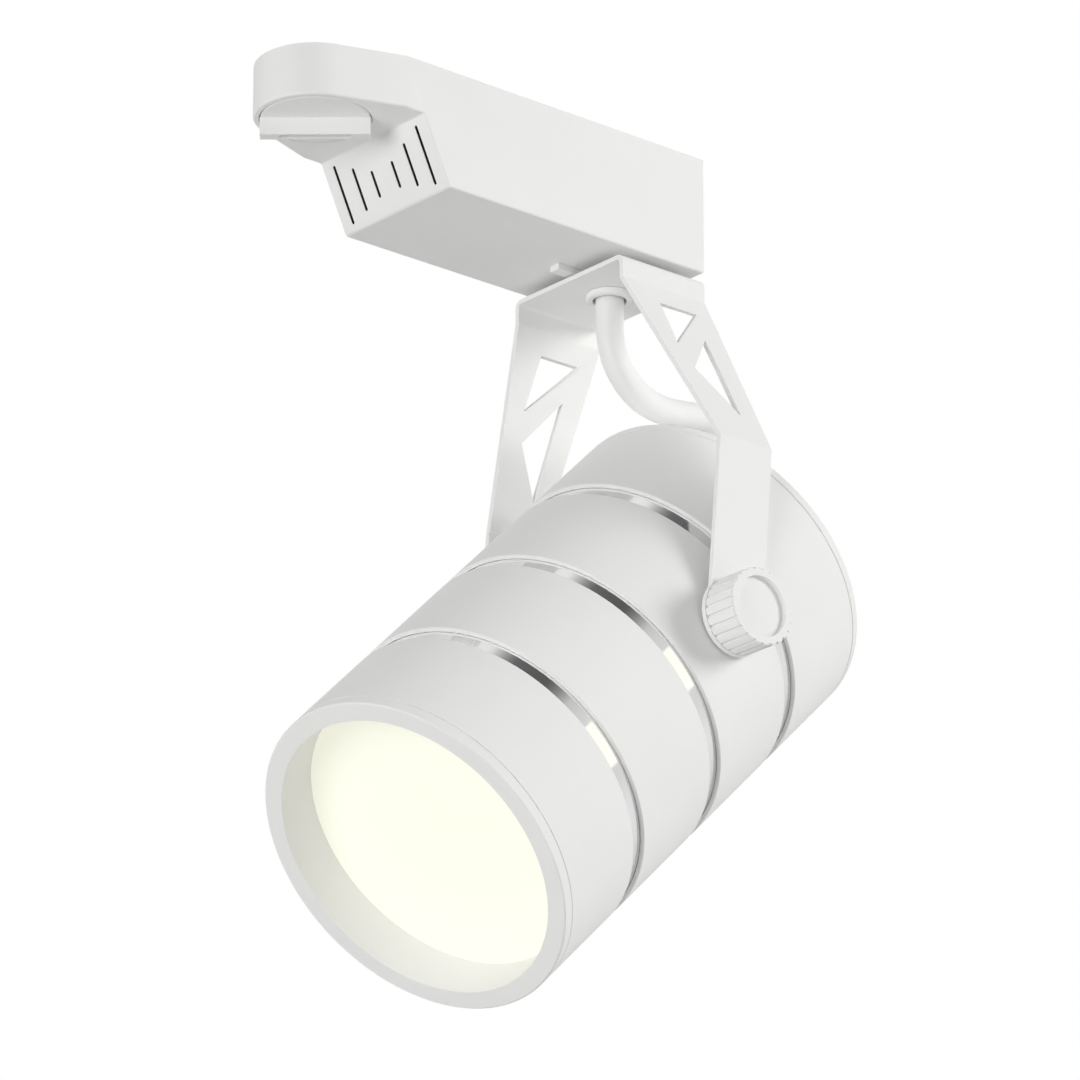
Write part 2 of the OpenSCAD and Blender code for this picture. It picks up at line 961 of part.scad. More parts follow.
module rear_cap_screws() {
    color("silver")
        in_head()
            at_cap_screws() {
                translate([0, 0, -1.4])
                    difference() {
                        cylinder(h = 1.4, r = 2.9, $fn = 48);
                        translate([0, 0, -1])
                            cylinder(h = 1.8, r = 1.2, $fn = 6);
                    }
                cylinder(h = 8, r = 1.6, $fn = 48);
            }
}

module lens() {
    color("lightyellow")
        in_head()
            translate([0, 0, lens_back])
                cylinder(h = lens_t, r = lens_r - 0.05);
}

module lens_gasket() {
    color("gray")
        in_head()
            ring(lens_r - 0.1, opening_r - 0.3, lens_back - gasket_t, lens_back);
}

module reflector() {
    steps = 14;
    front = core_front - 0.4;
    mouth = core_in - 1.2;
    throat = emitter_r + 3;
    function radius(k) = throat + (mouth - throat) * sqrt(k / steps);
    function height(k) = reflector_back + (front - reflector_back) * k / steps;
    color("silver")
        in_head()
            turned(concat(
                [for (k = [0 : steps]) [radius(k), height(k)]],
                [for (k = [steps : -1 : 0]) [radius(k) + 1, height(k)]]
            ));
}

module led_emitter() {
    color("gold")
        in_head()
            translate([0, 0, led_top])
                cylinder(h = emitter_t, r = emitter_r);
}

module led_board() {
    color("whitesmoke")
        in_head()
            translate([-board_side / 2, -board_side / 2, led_top - led_board_t])
                cube([board_side, board_side, led_board_t]);
}

module at_led_screws() {
    for (side = [-1, 1])
        translate([side * led_screw_at, 0, 0])
            children();
}

module led_holder() {
    low = sink_front + pad_t;
    pocket = board_side + 0.2;
    color("whitesmoke")
        in_head()
            difference() {
                translate([0, 0, low])
                    cylinder(h = led_board_t + holder_t, r = holder_r);
                translate([-pocket / 2, -pocket / 2, low - 1])
                    cube([pocket, pocket, led_board_t + 1]);
                translate([0, 0, low - 1])
                    cylinder(h = 5, r = emitter_r + 2);
                at_led_screws()
                    translate([0, 0, low - 1])
                        cylinder(h = 5, r = 1.5, $fn = 48);
                translate([wire_at[0] - 1.2, -far / 2, led_top])
                    cube([2.4, far, 2 * holder_t]);
            }
}

module led_screws() {
    top = led_top + holder_t;
    color("silver")
        in_head()
            at_led_screws() {
                translate([0, 0, top])
                    cylinder(h = 1.6, r = 2.6, $fn = 48);
                translate([0, 0, sink_front - 5])
                    cylinder(h = top - sink_front + 5, r = 1.4, $fn = 48);
            }
}

module thermal_pad() {
    color("gray")
        in_head()
            translate([-board_side / 2, -board_side / 2, sink_front])
                cube([board_side, board_side, pad_t]);
}

module heat_sink() {
    fin_t = 1.6;
    fin_pitch = 7;
    color("silver")
        in_head()
            difference() {
                union() {
                    translate([0, 0, sink_front - sink_base])
                        cylinder(h = sink_base, r = core_in - 0.05);
                    intersection() {
                        translate([0, 0, sink_back])
                            cylinder(h = sink_front - sink_back - 1, r = core_in - 0.05);
                        for (i = [-4 : 4])
                            translate([i * fin_pitch - fin_t / 2, -far / 2, sink_back])
                                cube([fin_t, far, far]);
                    }
                    intersection() {
                        cylinder(h = far, r = core_in - 0.05, center = true);
                        union() {
                            along_y(-far / 2, 4 - insert_in, insert_r + 2.5);
                            along_y(insert_in - 4, far / 2, insert_r + 2.5);
                        }
                    }
                }
                insert_holes();
                at_led_screws()
                    translate([0, 0, sink_front - 5.5])
                        cylinder(h = 6, r = 1.4, $fn = 48);
                for (side = [-1, 1])
                    translate([wire_at[0], side * wire_at[1], sink_front - sink_base - 1])
                        cylinder(h = sink_base + 2, r = 1.3, $fn = 48);
            }
}

module led_wires() {
    color("firebrick")
        in_head()
            for (side = [-1, 1])
                wire([
                    [0, side * 1.4, core_back],
                    [0, side * 1.4, sink_back - 8],
                    [0, side * wire_inner_y, sink_back - 8],
                    [wire_at[0], side * wire_inner_y, sink_back - 8],
                    [wire_at[0], side * wire_inner_y, sink_front - sink_base - 3],
                    [wire_at[0], side * wire_at[1], sink_front - sink_base - 3],
                    [wire_at[0], side * wire_at[1], led_top + wire_r + 0.05],
                    [wire_at[0], side * (emitter_r + 3), led_top + wire_r + 0.05]
                ], wire_r);
}

// ---------- Tilt pivots ----------

module pivot_inserts() {
    color("silver")
        at_pivot()
            for (side = [0, 180])
                rotate([0, 0, side])
                    difference() {
                        along_y(insert_in, insert_out, insert_r - 0.02);
                        along_y(insert_in - 1, insert_out + 1, stud_r + 0.05);
                    }
}

module pivot_washers() {
    color("gainsboro")
        at_pivot()
            for (side = [0, 180])
                rotate([0, 0, side])
                    difference() {
                        along_y(insert_out, insert_out + washer_t, insert_r + 1.5);
                        along_y(insert_out - 1, insert_out + 1, stud_r + 0.1);
                    }
}

module pivot_screw() {
    color("white")
        at_pivot()
            difference() {
                union() {
                    along_y(insert_in + 3, arm_out + 0.1, stud_r);
                    along_y(arm_out + 0.05, arm_out + 3.2, stud_r + 3.5);
                }
                translate([0, arm_out + 1.6, 0])
                    rotate([-90, 0, 0])
                        cylinder(h = 4, r = 2.2, $fn = 6);
            }
}

module tilt_knob() {
    base = arm_out + 0.05;
    top = base + knob_len;
    color("white")
        at_pivot()
            rotate([90, 0, 0])
                difference() {
                    turned([
                        [stud_r, base], [knob_r, base], [knob_r, top - 0.3], [knob_r - 0.3, top],
                        [knob_r - knob_rim, top], [knob_r - knob_rim, top - knob_recess],
                        [0, top - knob_recess], [0, top - knob_web], [stud_r, top - knob_web]
                    ]);
                    for (i = [0 : knob_flutes - 1])
                        rotate([0, 0, 360 * i / knob_flutes])
                            translate([knob_r - flute_sink, 0, base - 1])
                                cylinder(h = knob_len + 2, r = flute_r, $fn = 24);
                }
}

module knob_stud() {
    color("silver")
        at_pivot()
            rotate([0, 0, 180])
                along_y(insert_in + 3, arm_out + knob_len - knob_web - 0.1, stud_r);
}

// ---------- Gland ----------

module cable_gland() {
    color("white")
        in_head()
            turned([
                [lead_hole_r, cap_floor - gland_flange_t], [gland_flange_r - 0.5, cap_floor - gland_flange_t],
                [gland_flange_r, cap_floor - gland_flange_t + 0.5], [gland_flange_r, cap_floor],
                [gland_r, cap_floor], [gland_r, cap_floor + cap_plate + 4.4],
                [lead_hole_r, cap_floor + cap_plate + 4.4]
            ]);
}

module gland_nut() {
    low = cap_floor + cap_plate;
    color("goldenrod")
        in_head()
            difference() {
                translate([0, 0, low])
                    cylinder(h = 3.5, r = gland_flange_r, $fn = 6);
                translate([0, 0, low - 1])
                    cylinder(h = 6, r = gland_r);
            }
}

module strain_relief() {
    root = cap_floor - gland_flange_t;
    color("white")
        in_head()
            turned([
                [lead_hole_r, root], [boot_root_r, root], [boot_root_r, root - 2],
                [boot_tip_r, root - boot_len + 0.4], [boot_tip_r - 0.4, root - boot_len],
                [lead_hole_r, root - boot_len]
            ]);
}

adapter_housing();
adapter_cover();
cover_screws();
track_guide();
earth_contact();
driver_board();
board_screws();
transformer();
capacitors();
terminal_block();
supply_wires();
contact_springs();
lead_cores();
pan_bush();
pan_locknut();
pan_wave_washer();
pan_stop_washer();
pan_friction_washer();
locking_dial();
dial_shaft();
dial_screw();
contact_head();
live_contact();
neutral_contact();
yoke_bracket();
stop_pin();
lead();
bezel_ring();
front_drum();
second_drum();
third_drum();
rear_drum();
core_tube();
rear_cap();
rear_cap_screws();
lens();
lens_gasket();
reflector();
led_emitter();
led_board();
led_holder();
led_screws();
thermal_pad();
heat_sink();
led_wires();
pivot_inserts();
pivot_washers();
pivot_screw();
cable_gland();
gland_nut();
strain_relief();
tilt_knob();
knob_stud();
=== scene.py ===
"""The looks of the track spotlight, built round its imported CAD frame.

Everything is in metres in the frame of the part: the origin is on the pan axis at the face
against the track, +X points along the track from the dial to the yoke, and +Z points up.
"""

import json
import math

import bmesh
import bpy
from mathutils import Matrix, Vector


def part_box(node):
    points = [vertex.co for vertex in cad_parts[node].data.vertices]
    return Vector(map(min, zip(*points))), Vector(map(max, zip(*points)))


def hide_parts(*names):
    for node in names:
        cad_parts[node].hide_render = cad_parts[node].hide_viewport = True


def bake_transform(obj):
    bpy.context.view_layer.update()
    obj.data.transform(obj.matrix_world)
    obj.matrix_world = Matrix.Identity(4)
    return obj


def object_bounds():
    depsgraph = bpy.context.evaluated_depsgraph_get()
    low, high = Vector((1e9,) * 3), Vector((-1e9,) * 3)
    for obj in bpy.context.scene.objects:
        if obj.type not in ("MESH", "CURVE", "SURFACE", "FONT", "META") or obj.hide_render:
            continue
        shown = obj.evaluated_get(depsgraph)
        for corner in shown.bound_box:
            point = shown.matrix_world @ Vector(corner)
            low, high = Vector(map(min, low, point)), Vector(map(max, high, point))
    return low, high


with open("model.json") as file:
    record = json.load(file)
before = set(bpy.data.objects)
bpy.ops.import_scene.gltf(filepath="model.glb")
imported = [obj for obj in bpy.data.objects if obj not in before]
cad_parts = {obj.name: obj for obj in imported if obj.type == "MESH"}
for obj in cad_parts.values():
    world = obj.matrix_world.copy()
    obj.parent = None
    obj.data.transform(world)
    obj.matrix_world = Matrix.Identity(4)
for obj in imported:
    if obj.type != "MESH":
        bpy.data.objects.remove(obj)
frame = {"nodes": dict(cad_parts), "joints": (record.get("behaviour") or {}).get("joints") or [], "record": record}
cad_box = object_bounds()
nodes = frame["nodes"]
record = frame["record"]
scene = bpy.context.scene
MM = 0.001


# ---------- Camera ----------

CAMERA_AT = Vector((-1012.46, -1166.06, -684.33)) * MM
CAMERA_TARGET = Vector((-23.33, -2.23, -99.92)) * MM
SENSOR_MM = 36
LENS_MM = 238.07
CLIP_NEAR = 0.05
CLIP_FAR = 50


def make_camera():
    data = bpy.data.cameras.new("camera")
    data.sensor_width = SENSOR_MM
    data.lens = LENS_MM
    data.clip_start = CLIP_NEAR
    data.clip_end = CLIP_FAR
    camera = bpy.data.objects.new("camera", data)
    camera.location = CAMERA_AT
    camera.rotation_euler = (CAMERA_TARGET - CAMERA_AT).to_track_quat("-Z", "Y").to_euler()
    scene.collection.objects.link(camera)
    scene.camera = camera


make_camera()


# ---------- Places taken from the frame ----------

joints = {joint["name"]: joint for joint in frame["joints"]}
mounts = {mount["name"]: mount for mount in record["mounts"]}
PIVOT = Vector(joints["tilt"]["pos_m"])
DIAL_X = joints["dial_turn"]["pos_m"][0]
HEAD_AXIS = Vector(mounts["accessory_bore"]["axis"]).normalized()
HEAD_TURN = HEAD_AXIS.to_track_quat("Z", "Y")
OPENING_R = mounts["accessory_bore"]["dims"]["r_mm"] * MM
BOX_LOW, BOX_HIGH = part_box("adapter_housing")


# ---------- Lead ----------

LEAD_D = 6.7 * MM
# Middle line of the lead as [x, z], from the box through the bush to the head
LEAD_ROUTE_MM = [
    (0, -20.5), (0, -26), (0, -34), (0, -38.5), (0.2, -42), (1.2, -46.5), (3.2, -50.3),
    (6.4, -53.6), (11, -56), (17, -56.9), (24.5, -56.2), (30, -55.5), (34.5, -56), (39.5, -58.3),
    (43.3, -62.4), (45.8, -67.6), (46.2, -73.3), (44.8, -78.9), (41.5, -83.6), (36, -89.1),
    (30, -95.1), (25, -100.1),
]
LEAD_SIDES = 28
LEAD_STEPS = 5


def smooth_route(points, steps):
    """Catmull-Rom points through the route."""
    ends = [2 * points[0] - points[1], *points, 2 * points[-1] - points[-2]]
    route = []
    for a, b, c, d in zip(ends, ends[1:], ends[2:], ends[3:]):
        for k in range(steps):
            t = k / steps
            route.append(
                0.5 * (2 * b + (c - a) * t + (2 * a - 5 * b + 4 * c - d) * t * t
                       + (3 * b - a - 3 * c + d) * t * t * t)
            )
    return route + [points[-1]]


def tube(name, route, diameter, sides):
    """A closed tube along a route that lies in the plane of the tilt."""
    mesh = bmesh.new()
    rings = []
    for i, at in enumerate(route):
        ahead = (route[min(i + 1, len(route) - 1)] - route[max(i - 1, 0)]).normalized()
        across = Vector((0, 1, 0))
        out = ahead.cross(across)
        rings.append([
            mesh.verts.new(at + diameter / 2 * (math.cos(a) * out + math.sin(a) * across))
            for a in (math.tau * k / sides for k in range(sides))
        ])
    for low, high in zip(rings, rings[1:]):
        for k in range(sides):
            mesh.faces.new((low[k], low[(k + 1) % sides], high[(k + 1) % sides], high[k]))
    mesh.faces.new(reversed(rings[0]))
    mesh.faces.new(rings[-1])
    bmesh.ops.recalc_face_normals(mesh, faces=mesh.faces)
    data = bpy.data.meshes.new(name)
    mesh.to_mesh(data)
    mesh.free()
    for face in data.polygons:
        face.use_smooth = len(face.vertices) == 4
    piece = bpy.data.objects.new(name, data)
    scene.collection.objects.link(piece)
    return piece


def make_lead():
    points = [Vector((x, 0, z)) * MM for x, z in LEAD_ROUTE_MM]
    route = smooth_route(points, LEAD_STEPS)
    piece = tube("lead_tube", route, LEAD_D, LEAD_SIDES)
    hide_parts("lead")
    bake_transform(piece)
    return piece


lead = make_lead()


# ---------- Node helpers ----------

def put(tree, kind, inputs=None, **settings):
    """Adds a shader node. An input is a plain value or another node's output."""
    made = tree.nodes.new("ShaderNode" + kind)
    for key, value in settings.items():
        setattr(made, key, value)
    for key, value in (inputs or {}).items():
        if isinstance(value, bpy.types.NodeSocket):
            tree.links.new(value, made.inputs[key])
        else:
            made.inputs[key].default_value = value
    return made


def calc(tree, operation, *values):
    """The result of a sum on plain numbers or other nodes' outputs."""
    return put(tree, "Math", dict(enumerate(values)), operation=operation).outputs["Value"]


def vector_calc(tree, operation, *values, result="Vector"):
    """The same on vectors. A dot product or a length is the result named Value."""
    return put(tree, "VectorMath", dict(enumerate(values)), operation=operation).outputs[result]


def bumped(tree, height, depth, strength):
    """A normal tilted by the slope of a height pattern."""
    inputs = {"Height": height, "Distance": depth, "Strength": strength}
    return put(tree, "Bump", inputs).outputs["Normal"]


def object_coords(tree):
    return put(tree, "TexCoord").outputs["Object"]


def head_coords(tree):
    """Coordinates with Z along the head's axis and the origin on the tilt axis."""
    turned = put(tree, "Mapping", {
        "Vector": object_coords(tree), "Location": PIVOT, "Rotation": HEAD_TURN.to_euler(),
    }, vector_type="TEXTURE")
    return turned.outputs["Vector"]


def noise(tree, coords, size, detail=3.0):
    """Noise whose features are about size metres across."""
    return put(tree, "TexNoise", {"Vector": coords, "Scale": 1 / size, "Detail": detail}).outputs["Fac"]


def spread(tree, value, low, high, from_low=0.3, from_high=0.7):
    return put(tree, "MapRange", {
        "Value": value, "From Min": from_low, "From Max": from_high, "To Min": low, "To Max": high,
    }).outputs["Result"]


def mix_colour(tree, factor, a, b):
    made = put(tree, "Mix", data_type="RGBA")
    for socket, value in ((made.inputs[0], factor), (made.inputs[6], a), (made.inputs[7], b)):
        if isinstance(value, bpy.types.NodeSocket):
            tree.links.new(value, socket)
        else:
            socket.default_value = value
    return made.outputs[2]


def rgba(colour, gain=1.0):
    return (*(min(1.0, c * gain) for c in colour), 1.0)


# Likeness of the rounded normal to the plain one: from here down an edge, from here up an open face
EDGE_LIKENESS = 0.80
FACE_LIKENESS = 0.99


def edge_mask(tree, radius):
    """Near 1 on convex and concave edges, 0 on open faces."""
    rounded = put(tree, "Bevel", {"Radius": radius}, samples=4).outputs["Normal"]
    plain = put(tree, "NewGeometry").outputs["Normal"]
    likeness = vector_calc(tree, "DOT_PRODUCT", rounded, plain, result="Value")
    return spread(tree, likeness, 1.0, 0.0, EDGE_LIKENESS, FACE_LIKENESS)


def fresh_tree(slot):
    material = bpy.data.materials[slot]
    material.use_nodes = True
    material.node_tree.nodes.clear()
    return material.node_tree


def finish_tree(tree, **inputs):
    shader = put(tree, "BsdfPrincipled", {key.replace("_", " "): value for key, value in inputs.items()})
    put(tree, "OutputMaterial", {"Surface": shader.outputs["BSDF"]})


# ---------- Materials ----------

# The vented slope's normal points further than this towards the dial and down
SLOPE_LEAN_X = -0.5
SLOPE_LEAN_Z = -0.2
# How far inside the box's outline the painted shade starts: at its ends, sides, and top and bottom
PAINTED_SHADE_INSET = Vector((0.5, 1.8, 0.5)) * MM
# Depths below the vented slope where the painted shade begins and where it is full
PAINTED_SHADE_BEGINS = 0.05 * MM
PAINTED_SHADE_FULL = 0.15 * MM

# Sizes of the patterns in the white coatings
CLOUD_SIZE = 22 * MM
SPECK_SIZE = 0.45 * MM
SHEEN_SIZE = 6 * MM
# Radius of the painted highlight along the edges
EDGE_HIGHLIGHT_RADIUS = 0.5 * MM

# Index of refraction
COATING_IOR = 1.46
JACKET_IOR = 1.5


def vented_plane():
    """A point on the outside of the box's vented slope, and the slope's normal."""
    leaning = [
        face for face in nodes["adapter_housing"].data.polygons
        if face.normal.x < SLOPE_LEAN_X and face.normal.z < SLOPE_LEAN_Z
    ]
    outermost = max(leaning, key=lambda face: face.normal.dot(face.center))
    return outermost.center.copy(), outermost.normal.copy()


def inside_box(tree, coords):
    """Where shade is painted: 1 inside the box and on the sides of the vent slots, 0 on the outside and in the
    nose.
    """
    middle = (BOX_LOW + BOX_HIGH) / 2
    half = (BOX_HIGH - BOX_LOW) / 2 - PAINTED_SHADE_INSET
    from_middle = vector_calc(tree, "SUBTRACT", coords, middle)
    share = vector_calc(tree, "ABSOLUTE", vector_calc(tree, "DIVIDE", from_middle, half))
    axes = put(tree, "SeparateXYZ", {"Vector": share}).outputs
    widest = calc(tree, "MAXIMUM", calc(tree, "MAXIMUM", axes["X"], axes["Y"]), axes["Z"])
    within = calc(tree, "LESS_THAN", widest, 1.0)
    point, normal = vented_plane()
    height = vector_calc(tree, "DOT_PRODUCT", coords, normal, result="Value")
    surface = normal.dot(point)
    behind = spread(tree, height, 0.0, 1.0, surface - PAINTED_SHADE_BEGINS, surface - PAINTED_SHADE_FULL)
    return calc(tree, "MULTIPLY", within, behind)


def coated(slot, colour, roughness, peel, peel_depth, mottle=0.012, highlight_gain=1.03, painted_shade=None):
    """Satin paint or moulded plastic: faint mottling, an orange-peel skin, a painted highlight along the edges
    and, where given, painted shade inside the box.
    """
    tree = fresh_tree(slot)
    coords = object_coords(tree)
    cloud = noise(tree, coords, CLOUD_SIZE)
    speck = noise(tree, coords, SPECK_SIZE, 2.0)
    tone = mix_colour(tree, spread(tree, cloud, 0, 1), rgba(colour, 1 - mottle), rgba(colour, 1 + mottle))
    tone = mix_colour(tree, spread(tree, speck, 0, 0.35), tone, rgba(colour, 1 - 1.6 * mottle))
    # Painted highlight: the colour is lighter along convex and concave edges
    edges = edge_mask(tree, EDGE_HIGHLIGHT_RADIUS)
    tone = mix_colour(tree, spread(tree, edges, 0, 0.6, 0, 1), tone, rgba(colour, highlight_gain))
    # Painted shade: near-black inside the box and on the walls of the vent slots, where shade falls
    if painted_shade:
        tone = mix_colour(tree, inside_box(tree, coords), tone, rgba(painted_shade))
    sheen = spread(tree, noise(tree, coords, SHEEN_SIZE), roughness - 0.05, roughness + 0.05)
    skin = noise(tree, coords, peel, 2.0)
    bump = bumped(tree, skin, peel_depth, 0.6)
    finish_tree(tree, Base_Color=tone, Roughness=sheen, Normal=bump, IOR=COATING_IOR)


def jacket(slot, colour):
    """Soft cable jacket with faint lines drawn along it and a slightly waxy skin."""
    tree = fresh_tree(slot)
    coords = object_coords(tree)
    cloud = spread(tree, noise(tree, coords, 9 * MM), 0, 1)
    tone = mix_colour(tree, cloud, rgba(colour, 0.985), rgba(colour, 1.01))
    lines = put(tree, "Mapping", {"Vector": coords, "Scale": (0.12, 1, 0.12)}).outputs["Vector"]
    drawn = noise(tree, lines, 0.35 * MM, 2.0)
    bump = bumped(tree, drawn, 0.02 * MM, 0.5)
    sheen = spread(tree, drawn, 0.48, 0.58)
    finish_tree(tree, Base_Color=tone, Roughness=sheen, Normal=bump, IOR=JACKET_IOR)


def polished(slot, colour):
    """Polished turned tube: mirror bright, with fine rings from the lathe and faint smears."""
    tree = fresh_tree(slot)
    coords = head_coords(tree)
    axial = put(tree, "SeparateXYZ", {"Vector": coords}).outputs["Z"]
    rings = put(tree, "TexNoise", {"W": axial, "Scale": 1 / (0.12 * MM), "Detail": 2.0},
                noise_dimensions="1D").outputs["Fac"]
    smears = noise(tree, coords, 7 * MM)
    tone = mix_colour(tree, spread(tree, smears, 0, 1), rgba(colour, 0.97), rgba(colour))
    sheen = spread(tree, smears, 0.05, 0.11)
    bump = bumped(tree, rings, 0.004 * MM, 0.3)
    finish_tree(tree, Base_Color=tone, Metallic=1.0, Roughness=sheen, Normal=bump)


def metal(slot, colour, roughness, grain=0.25 * MM):
    """Plated, drawn or extruded metal with fine scratches and darker patches."""
    tree = fresh_tree(slot)
    coords = object_coords(tree)
    patches = spread(tree, noise(tree, coords, 4 * MM), 0, 1)
    tone = mix_colour(tree, patches, rgba(colour, 0.9), rgba(colour, 1.03))
    stretched = put(tree, "Mapping", {"Vector": coords, "Scale": (0.15, 1, 1)}).outputs["Vector"]
    scratches = noise(tree, stretched, grain, 4.0)
    sheen = spread(tree, scratches, roughness - 0.08, roughness + 0.1)
    bump = bumped(tree, scratches, 0.01 * MM, 0.4)
    finish_tree(tree, Base_Color=tone, Metallic=1.0, Roughness=sheen, Normal=bump)


def plain(slot, colour, roughness, dark=0.88, size=1.5 * MM):
    """Small inner parts: a mottled colour with a fine grain."""
    tree = fresh_tree(slot)
    coords = object_coords(tree)
    grain = noise(tree, coords, size)
    tone = mix_colour(tree, spread(tree, grain, 0, 1), rgba(colour, dark), rgba(colour))
    sheen = spread(tree, grain, roughness - 0.06, roughness + 0.06)
    bump = bumped(tree, grain, 0.02 * MM, 0.4)
    finish_tree(tree, Base_Color=tone, Roughness=sheen, Normal=bump)


PRISM_CELL = 1.1 * MM


def glowing(slot, colour, glow):
    """Frosted lens lit from behind: prism cells, and a little less light towards its rim."""
    tree = fresh_tree(slot)
    coords = head_coords(tree)
    flat = vector_calc(tree, "MULTIPLY", coords, (1, 1, 0))
    radius = vector_calc(tree, "LENGTH", flat, result="Value")
    cells = put(tree, "TexVoronoi", {"Vector": coords, "Scale": 1 / PRISM_CELL, "Randomness": 0.15})
    cell = spread(tree, cells.outputs["Distance"], 1.0, 0.97, 0.3, 0.6)
    rim = spread(tree, radius, 1.0, 0.93, 0.8 * OPENING_R, OPENING_R)
    strength = calc(tree, "MULTIPLY", cell, rim)
    bump = bumped(tree, cell, 0.05 * MM, 0.3)
    finish_tree(tree, Base_Color=rgba(colour), Roughness=0.45, Normal=bump,
                Emission_Color=rgba(glow), Emission_Strength=strength)


WHITE = (0.87, 0.87, 0.862)
# Near-black painted shade for the inside of the box and the walls of the vent slots
PAINTED_SHADE_COLOUR = (0.02, 0.02, 0.02)

coated("white_paint", WHITE, 0.54, peel=0.55 * MM, peel_depth=0.006 * MM)
coated("white_plastic", WHITE, 0.56, peel=0.3 * MM, peel_depth=0.006 * MM, painted_shade=PAINTED_SHADE_COLOUR)
jacket("lead_jacket", (0.86, 0.86, 0.855))
polished("polished_aluminium", (0.93, 0.93, 0.93))
metal("raw_aluminium", (0.78, 0.79, 0.80), 0.38)
metal("steel", (0.62, 0.63, 0.65), 0.32)
metal("brass", (0.80, 0.62, 0.30), 0.3)
plain("circuit_board", (0.07, 0.30, 0.13), 0.4)
plain("dark_parts", (0.08, 0.08, 0.10), 0.5)
plain("phosphor", (0.95, 0.80, 0.25), 0.6)
plain("ceramic", (0.93, 0.93, 0.90), 0.45, dark=0.96)
plain("grey_rubber", (0.45, 0.45, 0.45), 0.7)
plain("wire_insulation", (0.65, 0.10, 0.08), 0.5)
glowing("diffuser", (0.48, 0.48, 0.43), (0.60, 0.60, 0.51))


def dress():
    """Puts each node's material on it, by the record's slots."""
    for part in record["subparts"]:
        for held in nodes[part["node"]].material_slots:
            held.material = bpy.data.materials[part["material_slot"]]
    lead.data.materials.append(bpy.data.materials["lead_jacket"])


dress()


# ---------- Rounded edges ----------

# An edge is rounded where its faces turn by more than SHARP, and faces merge below FLAT
SHARP = math.radians(25)
FLAT = math.radians(0.3)
WELD = 0.002 * MM


def mark_edges(name, is_outer, inner_share):
    """Weights the sharp edges of a node for its bevel: 1 on outer edges, inner_share on the rest."""
    mesh = nodes[name].data
    normals = {}
    for face in mesh.polygons:
        for edge in face.edge_keys:
            place = frozenset(mesh.vertices[i].co.to_tuple(6) for i in edge)
            normals.setdefault(place, []).append(face.normal)
    weights = mesh.attributes.new("bevel_weight_edge", "FLOAT", "EDGE")
    for edge in mesh.edges:
        ends = [mesh.vertices[i].co for i in edge.vertices]
        sides = normals.get(frozenset(end.to_tuple(6) for end in ends), [])
        if len(sides) == 2 and sides[0].angle(sides[1], 0.0) > SHARP:
            weights.data[edge.index].value = 1.0 if all(is_outer(end) for end in ends) else inner_share


def soften(name, width, segments=3, by_weight=False):
    """Welds a node's CAD faces together and rounds its sharp edges, and leaves the mesh as it is."""
    part = nodes[name]
    mesh = part.data
    if "custom_normal" in mesh.attributes:
        mesh.attributes.remove(mesh.attributes["custom_normal"])
    mesh.polygons.foreach_set("use_smooth", [True] * len(mesh.polygons))
    weld = part.modifiers.new("weld", "WELD")
    weld.merge_threshold = WELD
    merge = part.modifiers.new("merge_flat", "DECIMATE")
    merge.decimate_type = "DISSOLVE"
    merge.angle_limit = FLAT
    bevel = part.modifiers.new("bevel", "BEVEL")
    bevel.width = width
    bevel.segments = segments
    bevel.limit_method = "WEIGHT" if by_weight else "ANGLE"
    bevel.angle_limit = SHARP
    bevel.use_clamp_overlap = False
    bevel.harden_normals = True
    bevel.miter_outer = "MITER_ARC"


# Width of the rounding on each node's edges, in millimetres
EDGE_WIDTH = {
    "track_guide": 0.3, "contact_head": 0.25, "locking_dial": 0.2,
    "pan_stop_washer": 0.2, "pan_bush": 0.15, "yoke_bracket": 0.14,
    "bezel_ring": 0.1, "front_drum": 0.1, "second_drum": 0.1, "third_drum": 0.1, "rear_drum": 0.1,
    "rear_cap": 0.1, "tilt_knob": 0.07, "pivot_screw": 0.3, "pivot_washers": 0.05,
    "cable_gland": 0.15, "strain_relief": 0.2, "rear_cap_screws": 0.15, "cover_screws": 0.05,
}

for part_name, edge_mm in EDGE_WIDTH.items():
    soften(part_name, edge_mm * MM)


HOUSING_EDGE = 0.6 * MM
OPENING_EDGE = 0.1 * MM
NEAR = 0.1 * MM
# The nose's outline is within this length behind the dial's axis, and further from the axis than this radius
NOSE_LENGTH = 12 * MM
NOSE_CLEAR_R = 13.9 * MM


def on_box_outline(point):
    """True for a point on an outer edge of the box, and not on a vent, the dial's hole or inside."""
    on_side = abs(point.y) > BOX_HIGH.y - NEAR
    on_end = point.x > BOX_HIGH.x - NEAR
    from_dial = math.hypot(point.x - DIAL_X, point.y)
    on_nose = point.x < DIAL_X + NOSE_LENGTH and from_dial > NOSE_CLEAR_R
    return point.z < BOX_HIGH.z - NEAR and (on_side or on_end or on_nose)


mark_edges("adapter_housing", on_box_outline, OPENING_EDGE / HOUSING_EDGE)
soften("adapter_housing", HOUSING_EDGE, by_weight=True)


# ---------- Studio ----------

WHITE_LIGHT = (1.0, 1.0, 1.0, 1.0)

FLOOR_Z = -1.0
FLOOR_HALF = 4
FLOOR_ROUGHNESS = 0.8
# The floor's colour and added glow as the camera sees it, and its colour as it lights the object
FLOOR_SHOWN = (0.88, 0.88, 0.88, 1.0)
FLOOR_LIFT = 0.32
FLOOR_BOUNCE = (0.62, 0.62, 0.62, 1.0)

# From the middle of the object to each light
LIGHT_REACH = 1.6
SOFTBOX_TOWARD = (0.64, -0.69, 0.33)
# Lights that leave no reflection
HIDDEN_IN_GLOSS = ("softbox", "back_light")

